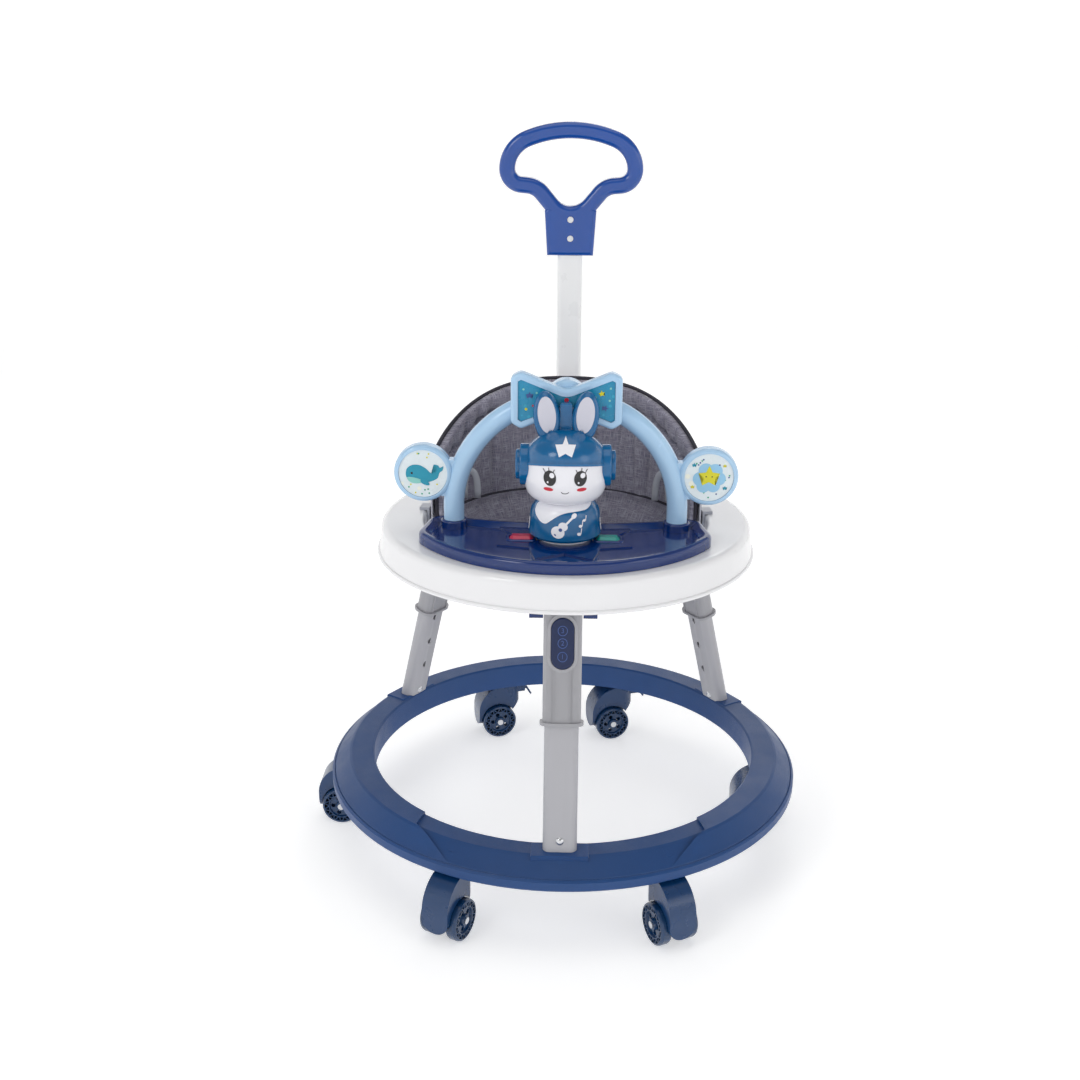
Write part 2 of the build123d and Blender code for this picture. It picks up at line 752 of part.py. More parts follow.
def rabbit_body():
    """Bell-shaped body with an arm on each side."""
    side = Spline(
        (42, BODY_LOW + 3),
        (41, BODY_LOW + 18),
        (37.5, BODY_LOW + 34),
        (28, NECK_Z),
        tangents=[(0, 1), (-0.95, 0.3)],
    )
    low = Polyline((28, NECK_Z), (0, NECK_Z), (0, BODY_LOW), (39.5, BODY_LOW), (42, BODY_LOW + 3))
    body = revolve(Plane.XZ * make_face([side, low]), Axis.Z)
    for s in (-1, 1):
        arm = revolve(Plane.XZ * half_ellipse(8, 19, 0), Axis.Z)
        body += Pos(s * 43.5, -3, BODY_LOW + 20.5) * (Rot(0, -s * 11, 0) * arm)
    return toy_at(body)


def on_brim(shape):
    """Places a piece on the tilted plane where the helmet meets the face."""
    return Pos(0, 0, BRIM_Z) * (Rot(BRIM_TILT, 0, 0) * shape)


def head_solid():
    """White face: full at the cheeks, round under the chin, cut off along the helmet's brim."""
    cheek = Spline(
        (30, NECK_Z + 0.05),
        (43.5, NECK_Z + 9),
        (HEAD_R, NECK_Z + 24),
        (HEAD_R - 1, BRIM_Z + 14),
        tangents=[(1, 0.25), (-0.05, 1)],
    )
    edge = Polyline(
        (HEAD_R - 1, BRIM_Z + 14), (0, BRIM_Z + 14), (0, NECK_Z + 0.05), (30, NECK_Z + 0.05)
    )
    egg = revolve(Plane.XZ * make_face([cheek, edge]), Axis.Z)
    return egg - on_brim(bar((-70, -70, 0), (70, 70, 60)))


def rabbit_head():
    return toy_at(head_solid())


def helmet_solid():
    """Dome with a brim, turned as one outline and tipped back."""
    r = HEAD_R + 0.6
    dome = Spline(
        (r, 3),
        (r * 0.9, HELMET_RISE * 0.5),
        (r * 0.57, HELMET_RISE * 0.85),
        (0, HELMET_RISE),
        tangents=[(0, 1), (-1, 0)],
    )
    edge = Polyline((0, HELMET_RISE), (0, 0.05), (r + 1, 0.05), (r + 1, 3), (r, 3))
    return on_brim(revolve(Plane.XZ * make_face([dome, edge]), Axis.Z))


def rabbit_helmet():
    """Helmet with the small strap block that stands between the ears."""
    strap = bar((-6.6, -1, BRIM_Z + 30), (6.6, 11, EAR_TOP - 14))
    strap = fillet(strap.edges().group_by(Axis.Z)[-1], 2)
    return toy_at(helmet_solid() + strap)


def rabbit_ears():
    """Upright ears, flat in front and behind."""
    ears = []
    for s in (-1, 1):
        ear = revolve(Plane.XZ * half_ellipse(15.4, 30, 0), Axis.Z)
        ear &= bar((-20, -8.5, -40), (20, 8.5, 40))
        rims = ear.faces().filter_by(GeomType.PLANE).edges()
        ear = Pos(s * 22, 1, EAR_TOP - 30) * (Rot(0, s * 6.5, 0) * fillet(rims, 2))
        ears.append(ear - helmet_solid())
    return toy_at(group(*ears))


def rabbit_headphones():
    """A stepped round ear cup on each side of the head."""
    cups = []
    for s in (-1, 1):
        cup = rod(CUP_R, (s * 40, 0, BRIM_Z), (s * 52, 0, BRIM_Z))
        cup = fillet(cup.edges().filter_by(GeomType.CIRCLE), 1.8)
        outer = rod(CUP_R - 6.5, (s * 51, 0, BRIM_Z), (s * 57, 0, BRIM_Z))
        cup += fillet(outer.edges().filter_by(GeomType.CIRCLE), 2)
        cups.append(cup - head_solid() - helmet_solid())
    return toy_at(group(*cups))


# ---- assembly ----
def build():
    nodes = {"base_ring": base_ring()}
    bolts = []
    tube, bolt = leg_tube(), leg_bolt()
    for name, bearing in LEGS:
        nodes[f"leg_tube_{name}"] = leg_piece(bearing, tube)
        sleeve = front_sleeve() if name == "front" else side_sleeve()
        nodes[f"leg_sleeve_{name}"] = leg_piece(bearing, sleeve)
        bolts.append(leg_piece(bearing, bolt))
    nodes["leg_bolts"] = group(*bolts)
    nodes["height_button"] = leg_piece(0, height_button())
    wheel, pins = caster_wheel(), caster_pins()
    for name, bearing, heading, brake in CASTERS:
        place = caster_plane(bearing, heading).location
        nodes[f"caster_{name}_housing"] = place * caster_housing(brake)
        nodes[f"caster_{name}_pins"] = place * pins
        for letter, s in (("a", -1), ("b", 1)):
            nodes[f"caster_{name}_wheel_{letter}"] = place * (
                Pos(TRAIL, s * WHEEL_OFFSET, WHEEL_R) * wheel
            )
        if brake:
            nodes[f"caster_{name}_brake"] = place * brake_lever()
    nodes["tray_shell"] = tray_shell()
    nodes["handle_socket"] = handle_socket()
    nodes["seat_back_pad"] = seat_back_pad()
    nodes["seat_back_shell"] = seat_back_shell()
    nodes["seat_sling"] = seat_sling()
    nodes["seat_clips"] = seat_clips()
    nodes["push_pole"] = push_pole()
    nodes["push_grip"] = push_grip()
    nodes["grip_screws"] = grip_screws()
    nodes["toy_tray"] = toy_tray()
    nodes["toy_tray_bottom"] = toy_tray_bottom()
    nodes["toy_tray_clips"] = toy_tray_clips()
    nodes["button_red"] = gem_button(-BUTTON_X)
    nodes["button_teal"] = gem_button(BUTTON_X)
    nodes["toy_arch"] = toy_arch()
    nodes["disc_inlays"] = disc_inlays()
    nodes["bow_panel"] = bow_panel()
    nodes["bow_inlay"] = bow_inlay()
    nodes["rabbit_base"] = rabbit_base()
    nodes["rabbit_body"] = rabbit_body()
    nodes["rabbit_head"] = rabbit_head()
    nodes["rabbit_helmet"] = rabbit_helmet()
    nodes["rabbit_ears"] = rabbit_ears()
    nodes["rabbit_headphones"] = rabbit_headphones()
    return nodes


os.makedirs("parts", exist_ok=True)
for node, shape in build().items():
    export_step(shape, f"parts/{node}.step")
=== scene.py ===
"""Looks of the baby walker: materials, soft goods, printed motifs, light and camera."""

import json
import math
import random

import bmesh
import bpy
from mathutils import Matrix, Vector, noise
from mathutils.bvhtree import BVHTree


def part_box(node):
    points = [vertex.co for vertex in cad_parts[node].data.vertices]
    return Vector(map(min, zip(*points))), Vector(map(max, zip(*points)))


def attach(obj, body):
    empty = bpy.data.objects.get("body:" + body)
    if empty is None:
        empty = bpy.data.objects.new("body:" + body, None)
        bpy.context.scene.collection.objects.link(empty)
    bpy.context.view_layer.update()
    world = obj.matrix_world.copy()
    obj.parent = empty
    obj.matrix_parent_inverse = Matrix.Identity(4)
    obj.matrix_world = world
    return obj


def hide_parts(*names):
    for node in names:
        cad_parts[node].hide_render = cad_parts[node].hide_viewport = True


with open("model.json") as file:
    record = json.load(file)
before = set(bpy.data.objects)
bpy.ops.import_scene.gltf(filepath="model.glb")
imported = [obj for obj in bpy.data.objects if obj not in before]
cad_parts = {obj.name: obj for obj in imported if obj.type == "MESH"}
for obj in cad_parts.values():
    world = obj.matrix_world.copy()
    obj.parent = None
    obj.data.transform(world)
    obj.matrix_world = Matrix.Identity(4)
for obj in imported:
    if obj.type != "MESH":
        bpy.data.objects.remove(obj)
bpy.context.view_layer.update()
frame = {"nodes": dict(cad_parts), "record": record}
nodes = frame["nodes"]
SCENE = bpy.context.scene


# ---- places read from the frame ----
def span(node):
    low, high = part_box(node)
    return Vector(low), Vector(high)


def middle(node):
    low, high = span(node)
    return (low + high) / 2


TRAY_TOP = span("tray_shell")[1].z
PAD_LOW, PAD_HIGH = span("seat_back_pad")
PAD_R = PAD_HIGH.x
PAD_THICK = 0.012
SLING_LOW, SLING_HIGH = span("seat_sling")


# ---- colours and materials ----
def srgb(r, g, b):
    """Linear colour from 0-255 display values."""
    def linear(v):
        v /= 255
        return v / 12.92 if v <= 0.04045 else ((v + 0.055) / 1.055) ** 2.4

    return (linear(r), linear(g), linear(b), 1.0)


def shade(colour, factor):
    return tuple(min(1.0, c * factor) for c in colour[:3]) + (1.0,)


class Graph:
    """A material's node tree with short calls."""

    def __init__(self, name):
        self.material = bpy.data.materials.new(name)
        self.material.use_nodes = True
        self.tree = self.material.node_tree
        self.shader = self.tree.nodes["Principled BSDF"]

    def add(self, kind, **values):
        node = self.tree.nodes.new(kind)
        for key, value in values.items():
            setattr(node, key, value)
        return node

    def join(self, source, target):
        self.tree.links.new(source, target)

    def position(self):
        return self.add("ShaderNodeTexCoord").outputs["Object"]

    def noise(self, vector, scale, detail=3.0, rough=0.5):
        node = self.add("ShaderNodeTexNoise")
        node.inputs["Scale"].default_value = scale
        node.inputs["Detail"].default_value = detail
        node.inputs["Roughness"].default_value = rough
        self.join(vector, node.inputs["Vector"])
        return node.outputs["Fac"]

    def stretch(self, vector, scale):
        node = self.add("ShaderNodeMapping")
        node.inputs["Scale"].default_value = scale
        self.join(vector, node.inputs["Vector"])
        return node.outputs["Vector"]

    def remap(self, value, low, high, to_low, to_high):
        node = self.add("ShaderNodeMapRange")
        for key, number in zip(
            ("From Min", "From Max", "To Min", "To Max"), (low, high, to_low, to_high)
        ):
            node.inputs[key].default_value = number
        self.join(value, node.inputs["Value"])
        return node.outputs["Result"]

    def mix(self, factor, first, second):
        node = self.add("ShaderNodeMix", data_type="RGBA")
        self.join(factor, node.inputs["Factor"])
        for socket, colour in ((node.inputs[6], first), (node.inputs[7], second)):
            if isinstance(colour, tuple):
                socket.default_value = colour
            else:
                self.join(colour, socket)
        return node.outputs[2]

    def math(self, kind, first, second):
        node = self.add("ShaderNodeMath", operation=kind)
        for socket, value in zip(node.inputs, (first, second)):
            if isinstance(value, (int, float)):
                socket.default_value = value
            else:
                self.join(value, socket)
        return node.outputs[0]

    def bump(self, height, distance, strength=1.0):
        node = self.add("ShaderNodeBump")
        node.inputs["Distance"].default_value = distance
        node.inputs["Strength"].default_value = strength
        self.join(height, node.inputs["Height"])
        return node.outputs["Normal"]


def moulded(name, colour, rough, grain=900, depth=0.00006, mottle=0.05, coat=0.0, edge=0.12):
    """Moulded plastic: faint mottling, uneven gloss, fine mould grain and a painted highlight that makes
    edges paler.
    """
    g = Graph(name)
    at = g.position()
    cloud = g.remap(g.noise(at, 9, 4), 0.3, 0.7, 0, 1)
    tone = g.mix(cloud, shade(colour, 1 - mottle), shade(colour, 1 + mottle))
    # painted highlight: convex edges are lightened towards a paler copy of the colour, as if catching light;
    # edge sets how far
    edge_highlight = g.remap(g.add("ShaderNodeNewGeometry").outputs["Pointiness"], 0.52, 0.62, 0, edge)
    g.join(g.mix(edge_highlight, tone, shade(colour, 1.8)), g.shader.inputs["Base Color"])
    smudge = g.remap(g.noise(at, 34, 5, 0.6), 0.3, 0.75, rough * 0.85, rough * 1.2)
    g.join(smudge, g.shader.inputs["Roughness"])
    g.join(g.bump(g.noise(at, grain, 2), depth), g.shader.inputs["Normal"])
    g.shader.inputs["Coat Weight"].default_value = coat
    g.shader.inputs["Coat Roughness"].default_value = 0.08
    return g.material


def metal(name, colour, rough):
    """Plated steel with fine turning marks."""
    g = Graph(name)
    at = g.position()
    marks = g.noise(g.stretch(at, (1, 1, 8)), 700, 3)
    g.join(g.remap(marks, 0.3, 0.7, rough * 0.7, rough * 1.4), g.shader.inputs["Roughness"])
    g.join(g.bump(marks, 0.00003), g.shader.inputs["Normal"])
    tone = g.mix(g.noise(at, 120, 3), shade(colour, 0.8), shade(colour, 1.1))
    g.join(tone, g.shader.inputs["Base Color"])
    g.shader.inputs["Metallic"].default_value = 1.0
    return g.material


def textured_ring(name, colour):
    """Ring plastic: leather-like spark texture on the sloping flank, smoother on lip and top."""
    g = Graph(name)
    at = g.position()
    cloud = g.remap(g.noise(at, 7, 4), 0.3, 0.7, 0, 1)
    tone = g.mix(cloud, shade(colour, 0.93), shade(colour, 1.07))
    # painted highlight: convex lips and edges are lightened towards a paler copy of the navy, as if catching
    # light
    edge_highlight = g.remap(g.add("ShaderNodeNewGeometry").outputs["Pointiness"], 0.51, 0.58, 0, 0.16)
    pale = g.mix(edge_highlight, tone, shade(colour, 1.9))
    speck = g.remap(g.noise(at, 1500, 2), 0.60, 0.72, 0, 0.22)
    g.join(g.mix(speck, pale, shade(colour, 2.2)), g.shader.inputs["Base Color"])
    g.join(g.remap(g.noise(at, 30, 5), 0.3, 0.7, 0.36, 0.5), g.shader.inputs["Roughness"])
    g.join(g.bump(g.noise(at, 1100, 4, 0.65), 0.00022), g.shader.inputs["Normal"])
    return g.material


def heather(name, dark, light):
    """Two-tone woven cloth: crossed streaks of pale and dark yarn over a fine plain weave, with painted
    shade in its creases.
    """
    g = Graph(name)
    at = g.position()
    split = g.add("ShaderNodeSeparateXYZ")
    g.join(at, split.inputs[0])
    around = g.math("MULTIPLY", g.math("ARCTAN2", split.outputs[0], split.outputs[1]), 0.16)
    cloth = g.add("ShaderNodeCombineXYZ")
    g.join(around, cloth.inputs[0])
    g.join(split.outputs[2], cloth.inputs[1])
    flat = cloth.outputs[0]
    warp = g.noise(g.stretch(flat, (1300, 70, 1)), 1, 2, 0.6)
    weft = g.noise(g.stretch(flat, (60, 1300, 1)), 1, 2, 0.6)
    streak = g.math("MAXIMUM", warp, weft)
    tone = g.mix(g.remap(streak, 0.46, 0.72, 0, 1), dark, light)
    blotch = g.remap(g.noise(at, 26, 3), 0.3, 0.7, 0, 0.30)
    cloth_tone = g.mix(blotch, tone, shade(dark, 0.85))
    # painted shade: creases and hollows of the cloth are darkened, standing in for shade falling into the
    # folds
    crease_shade = g.remap(g.add("ShaderNodeNewGeometry").outputs["Pointiness"], 0.44, 0.5, 0.6, 0)
    g.join(g.mix(crease_shade, cloth_tone, shade(dark, 0.35)), g.shader.inputs["Base Color"])
    yarn = g.math("SINE", g.math("MULTIPLY", around, 5200), 0.0)
    pick = g.math("SINE", g.math("MULTIPLY", split.outputs[2], 5200), 0.0)
    weave = g.math("ADD", g.math("MULTIPLY", yarn, pick), streak)
    g.join(g.bump(weave, 0.0003, 0.6), g.shader.inputs["Normal"])
    g.shader.inputs["Roughness"].default_value = 0.86
    g.shader.inputs["Sheen Weight"].default_value = 0.25
    g.shader.inputs["Sheen Roughness"].default_value = 0.5
    return g.material


def printed(name, colour, spots, scale):
    """Glossy printed label with faint paler spots."""
    g = Graph(name)
    at = g.position()
    cells = g.add("ShaderNodeTexVoronoi")
    cells.inputs["Scale"].default_value = scale
    g.join(at, cells.inputs["Vector"])
    dots = g.remap(cells.outputs["Distance"], 0.16, 0.20, 0.5, 0)
    base = g.mix(g.noise(at, 40, 3), shade(colour, 0.92), shade(colour, 1.08))
    g.join(g.mix(dots, base, spots), g.shader.inputs["Base Color"])
    g.join(g.remap(g.noise(at, 60, 4), 0.3, 0.7, 0.22, 0.34), g.shader.inputs["Roughness"])
    g.join(g.bump(g.noise(at, 500, 2), 0.00003), g.shader.inputs["Normal"])
    return g.material


NAVY = srgb(13, 62, 118)
MATERIALS = {
    "ring_navy": textured_ring("ring_plastic", NAVY),
    "caster_blue": moulded("caster_plastic", srgb(8, 52, 96), 0.28, coat=0.3),
    "wheel_blue": moulded("wheel_plastic", srgb(10, 52, 92), 0.26, coat=0.3),
    "steel": metal("plated_steel", (0.72, 0.73, 0.75, 1), 0.25),
    "leg_grey": moulded("leg_plastic", srgb(160, 160, 165), 0.38, 1000, 0.00005, 0.03, 0.1, 0.3),
    "button_navy": moulded("button_navy_plastic", srgb(6, 30, 74), 0.34, 900, 0.00008),
    "tray_white": moulded("tray_plastic", srgb(238, 238, 240), 0.2, 600, 0.00002, 0.01, 0.4, 0.0),
    "seat_fabric": heather("seat_cloth", srgb(116, 112, 130), srgb(206, 203, 216)),
    "seat_shell_grey": moulded("seat_shell_plastic", srgb(196, 196, 206), 0.35, 700),
    "clip_grey": moulded("clip_plastic", srgb(168, 170, 178), 0.35, 700),
    "pole_white": moulded("pole_plastic", srgb(247, 247, 247), 0.3, 800, 0.00003, 0.012, 0.1, 0.0),
    "grip_blue": moulded("grip_plastic", srgb(0, 70, 156), 0.2, 500, 0.00003, 0.05, 0.6),
    "toy_navy": moulded("toy_tray_plastic", srgb(0, 42, 108), 0.14, 400, 0.00003, 0.05, 0.35),
    "arch_blue": moulded("arch_plastic", srgb(172, 208, 238), 0.24, 500, 0.00002, 0.02, 0.4, 0.05),
    "disc_print": printed("disc_label", srgb(226, 236, 240), srgb(250, 246, 214), 60),
    "bow_teal": printed("bow_label", srgb(30, 145, 185), srgb(60, 190, 215), 90),
    "button_red": moulded("red_plastic", srgb(196, 28, 72), 0.15, 500, 0.00003, 0.05, 0.5),
    "button_teal": moulded("teal_plastic", srgb(10, 150, 140), 0.15, 500, 0.00003, 0.05, 0.5),
    "rabbit_blue": moulded("rabbit_plastic", srgb(0, 96, 150), 0.2, 500, 0.00003, 0.03, 0.35),
    "rabbit_white": moulded("rabbit_white_plastic", srgb(240, 240, 246), 0.22, 500, 0.00002, 0.01, 0.4, 0.0),
}


def dress_nodes():
    """Gives every CAD node the material of its slot."""
    for part in frame["record"]["subparts"]:
        data = nodes[part["node"]].data
        data.materials.clear()
        data.materials.append(MATERIALS[part["material_slot"]])
        for face in data.polygons:
            face.material_index = 0


dress_nodes()


# ---- mesh helpers ----
def link(name, mesh, body, material):
    """Puts a mesh into the scene as a smooth piece that rides on a body."""
    obj = bpy.data.objects.new(name, mesh)
    SCENE.collection.objects.link(obj)
    mesh.materials.clear()
    mesh.materials.append(material)
    for face in mesh.polygons:
        face.use_smooth = True
    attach(obj, body)
    return obj


def mesh_of(name, verts, faces):
    mesh = bpy.data.meshes.new(name)
    mesh.from_pydata([tuple(v) for v in verts], [], faces)
    bm = bmesh.new()
    bm.from_mesh(mesh)
    bmesh.ops.remove_doubles(bm, verts=bm.verts, dist=1e-6)
    bmesh.ops.recalc_face_normals(bm, faces=bm.faces)
    bm.to_mesh(mesh)
    bm.free()
    return mesh


def cord_mesh(name, points, radius, closed=False, sides=10, flat=1.0):
    """A piping or strap along a line of points; flat below 1 makes its section oval."""
    points = [Vector(p) for p in points]
    count = len(points)
    verts, faces = [], []
    first = (points[1] - points[0]).normalized()
    normal = Vector((1, 0, 0)) if abs(first.z) > 0.9 else Vector((0, 0, 1))
    for i, p in enumerate(points):
        before = points[(i - 1) % count] if closed or i else p
        after = points[(i + 1) % count] if closed or i < count - 1 else p
        along = (after - before).normalized()
        normal = (normal - along * normal.dot(along)).normalized()
        side = along.cross(normal)
        for k in range(sides):
            t = 2 * math.pi * k / sides
            verts.append(p + radius * (math.cos(t) * normal + flat * math.sin(t) * side))
    for i in range(count if closed else count - 1):
        j = (i + 1) % count
        for k in range(sides):
            m = (k + 1) % sides
            faces.append((i * sides + k, i * sides + m, j * sides + m, j * sides + k))
    if not closed:
        faces.append(tuple(range(sides))[::-1])
        faces.append(tuple((count - 1) * sides + k for k in range(sides)))
    return mesh_of(name, verts, faces)


def surface_of(*names):
    """Search tree over the meshes of some CAD nodes."""
    verts, faces = [], []
    for name in names:
        data = nodes[name].data
        start = len(verts)
        verts += [v.co.copy() for v in data.vertices]
        faces += [tuple(start + i for i in p.vertices) for p in data.polygons]
    return BVHTree.FromPolygons(verts, faces)


def bake(obj):
    """Applies every modifier of a piece to its mesh."""
    graph = bpy.context.evaluated_depsgraph_get()
    mesh = bpy.data.meshes.new_from_object(obj.evaluated_get(graph))
    obj.modifiers.clear()
    obj.data = mesh


# ---- seat back pad ----
PAD_END = 85.5
PAD_BOTTOM = PAD_LOW.z + 0.001
ROLL = 0.026
PUFF_CAP = 0.006
PAD_VOXEL = 0.004
PAD_PRESSURE = 12.0


def around(angle, radius, z):
    """Point at an angle from the rear, in degrees, at a radius from the seat's middle."""
    a = math.radians(angle)
    return Vector((radius * math.sin(a), radius * math.cos(a), z))


def pad_tops():
    """Top edge of the seat back at each degree from the rear."""
    tree = surface_of("seat_back_pad")
    tops = {}
    for angle in range(-90, 91):
        held = max(-PAD_END, min(PAD_END, angle))
        hit = tree.ray_cast(around(held, PAD_R - PAD_THICK / 2, 1.0), Vector((0, 0, -1)))[0]
        tops[angle] = hit.z if hit else TRAY_TOP
    return tops


PAD_TOPS = pad_tops()


def pad_top(angle):
    low = max(-90, min(89, math.floor(angle)))
    part = angle - low
    return PAD_TOPS[low] * (1 - part) + PAD_TOPS[low + 1] * part


def pad_blank():
    """Closed curved pad, a little thinner than the space it will fill."""
    steps, rows = 72, 14
    inner, outer = PAD_R - PAD_THICK - 0.001, PAD_R - 0.001
    verts, faces = [], []
    for i in range(steps + 1):
        angle = -PAD_END + 2 * PAD_END * i / steps
        low, high = PAD_BOTTOM, pad_top(angle) - 0.002
        for k in range(rows + 1):
            verts.append(around(angle, inner, low + (high - low) * k / rows))
        for k in range(rows, -1, -1):
            verts.append(around(angle, outer, low + (high - low) * k / rows))
    ring = 2 * (rows + 1)
    for i in range(steps):
        for k in range(ring):
            m = (k + 1) % ring
            a, b = i * ring, (i + 1) * ring
            faces.append((a + k, a + m, b + m, b + k))
    faces.append(tuple(range(ring)))
    faces.append(tuple(steps * ring + k for k in range(ring))[::-1])
    return mesh_of("seat_pad", verts, faces)


def voxel(obj, size):
    remesh = obj.modifiers.new("remesh", "REMESH")
    remesh.mode = "VOXEL"
    remesh.voxel_size = size
    bake(obj)


def swell(obj, held, pressure, cap):
    """Inflates the cloth for 20 frames, then keeps each point within the cap of its start."""
    start = [v.co.copy() for v in obj.data.vertices]
    pins = obj.vertex_groups.new(name="pins")
    for vertex in obj.data.vertices:
        if held(vertex.co):
            pins.add([vertex.index], 1.0, "REPLACE")
    cloth = obj.modifiers.new("cloth", "CLOTH")
    settings = cloth.settings
    settings.quality = 5
    settings.use_pressure = True
    settings.uniform_pressure_force = pressure
    settings.effector_weights.gravity = 0
    settings.vertex_group_mass = "pins"
    cloth.collision_settings.use_collision = False
    for frame_number in range(1, 21):
        SCENE.frame_set(frame_number)
    bake(obj)
    for vertex, first in zip(obj.data.vertices, start):
        move = vertex.co - first
        if move.length > cap:
            vertex.co = first + move * (cap / move.length)
    obj.vertex_groups.clear()
    SCENE.frame_set(1)


def polar_of(co):
    """Angle from the rear in degrees, radius, and height of a point."""
    return math.degrees(math.atan2(co.x, co.y)), math.hypot(co.x, co.y), co.z


def pad_held(co):
    """Where the pad's cloth is sewn down: its edges, its back and the line under its top roll."""
    angle, radius, z = polar_of(co)
    down = pad_top(angle) - z
    edge = down < 0.006 or z < PAD_BOTTOM + 0.008 or abs(angle) > PAD_END - 3
    return edge or radius > PAD_R - 0.004 or abs(down - ROLL) < 0.003


def pleats():
    """Places, lengths and depths of the gathers under the roll."""
    dice = random.Random(11)
    found = []
    angle = -80.0
    while angle < 80:
        found.append((angle, dice.uniform(0.05, 0.15), dice.uniform(0.5, 1.0), dice.uniform(-0.18, 0.18)))
        angle += dice.uniform(7, 16)
    return found


PLEATS = pleats()


def gather(co):
    """How far the pad's front face is drawn back at a point, in metres."""
    angle, radius, z = polar_of(co)
    down = pad_top(angle) - z
    wander = 0.004 * noise.noise(Vector((angle * 0.06, 3.1, 0)))
    crease = math.exp(-(((down - ROLL - wander) / 0.0045) ** 2))
    depth = 0.0085 * crease * (0.65 + 0.5 * noise.noise(Vector((angle * 0.2, 0, 7.7))))
    for place, length, strength, lean in PLEATS:
        across = math.radians(angle - place - lean * (down - ROLL) * 100) * radius
        if abs(across) > 0.02:
            continue
        if down > ROLL:
            fade = max(0.0, 1 - (down - ROLL) / length)
        else:
            fade = 0.75 * max(0.0, down / ROLL)
        depth += 0.0080 * strength * fade * math.exp(-((across / 0.0055) ** 2))
        depth -= 0.0034 * strength * fade * math.exp(-((across / 0.013) ** 2))
    soft = noise.noise(Vector((co.x * 22, co.z * 26, co.y * 22)))
    return depth + 0.0026 * soft


def seat_pad():
    obj = bpy.data.objects.new("seat_pad", pad_blank())
    SCENE.collection.objects.link(obj)
    voxel(obj, PAD_VOXEL)
    swell(obj, pad_held, PAD_PRESSURE, PUFF_CAP)
    obj.modifiers.new("smooth", "SUBSURF").levels = 1
    bake(obj)
    for vertex in obj.data.vertices:
        angle, radius, z = polar_of(vertex.co)
        if radius < PAD_R - 0.0045:
            radius += gather(vertex.co)
        radius = max(PAD_R - PAD_THICK - 0.008, min(PAD_R - 0.0002, radius))
        vertex.co = around(angle, radius, z)
    mesh = obj.data
    bpy.data.objects.remove(obj)
    pad = link("seat_pad", mesh, "tray", MATERIALS["seat_fabric"])
    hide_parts("seat_back_pad")
    return pad


def arc_points(radius, drop, start=-PAD_END, stop=PAD_END, count=90):
    """Points along the seat back's top edge."""
    angles = [start + (stop - start) * i / count for i in range(count + 1)]
    return [around(a, radius, pad_top(a) - drop) for a in angles]


def seat_trim():
    """Dark piping along the top edge, the seam where pad and bag meet, and the strap loops."""
    edge = [around(-PAD_END, PAD_R - 0.004, PAD_BOTTOM + 0.004 * k) for k in range(24)]
    edge = [p for p in edge if p.z < pad_top(-PAD_END) - 0.006]
    far = [Vector((-p.x, p.y, p.z)) for p in reversed(edge)]
    line = edge + arc_points(PAD_R - 0.0025, 0.001) + far
    mesh = cord_mesh("seat_piping", line, 0.0024)
    link("seat_piping", mesh, "tray", PIPING)
    seam = [around(a, PAD_R - PAD_THICK - 0.0015, PAD_BOTTOM + 0.010) for a in range(-84, 85, 2)]
    link("seat_seam", cord_mesh("seat_seam", seam, 0.0016), "tray", PIPING)
    for side in (-1, 1):
        strap = []
        for k in range(25):
            t = math.pi * k / 24
            strap.append(
                around(side * 63, PAD_R - PAD_THICK - 0.017, TRAY_TOP + 0.002)
                + Vector((-side * 0.0085 * math.cos(t), 0, 0.036 * math.sin(t) ** 0.6))
            )
        name = "strap_loop_right" if side > 0 else "strap_loop_left"
        mesh = cord_mesh(name, strap, 0.0042, sides=12, flat=0.35)
        link(name, mesh, "tray", WEBBING)


# ---- seat sling ----
SLING_SHEET = 0.0016


def sling_rings():
    """Level circles of the bag from rim to bottom: height, middle and radius."""
    rings = []
    low, high = SLING_LOW.z, SLING_HIGH.z
    for k in range(4):
        rings.append((PAD_BOTTOM + 0.010 - (PAD_BOTTOM + 0.010 - high) * k / 4, RIM_R, RIM_R))
    for k in range(18):
        z = high - 0.0015 - (high - low - 0.006) * k / 17
        rear = SLING_TREE.ray_cast(Vector((0, 0.3, z)), Vector((0, -1, 0)))[0]
        wide = max(
            abs(SLING_TREE.ray_cast(Vector((0.3, y, z)), Vector((-1, 0, 0)))[0].x)
            for y in (0.0, 0.008, 0.016, 0.024, 0.032)
        )
        radius = wide - 0.0025
        rings.append((z, rear.y - 0.0025 - radius, radius))
    return [(z, 0.0 if mid == radius else mid, radius) for z, mid, radius in rings]


SLING_TREE = surface_of("seat_sling")
RIM_R = PAD_R - PAD_THICK - 0.0015
RINGS = sling_rings()
HOLE_R = 0.038


def hole_axis(side):
    """Middle of a leg hole and the direction its leg passes through it."""
    middle_point = Vector((side * 0.0605, -0.0975, SLING_LOW.z + 0.0285))
    return middle_point, Vector((side * 0.125, -1, -1)).normalized()


def sling_point(k, t):
    """Point of the bag on ring k at angle t, slack between its seams."""
    z, mid, radius = RINGS[k]
    slack = 0.0018 * noise.noise(Vector((3 * math.cos(t), 3 * math.sin(t), z * 30)))
    slack += 0.0012 * math.sin(14 * t + 30 * z) * (k / len(RINGS))
    radius = max(0.002, radius + slack)
    return Vector((radius * math.sin(t), mid + radius * math.cos(t), z))


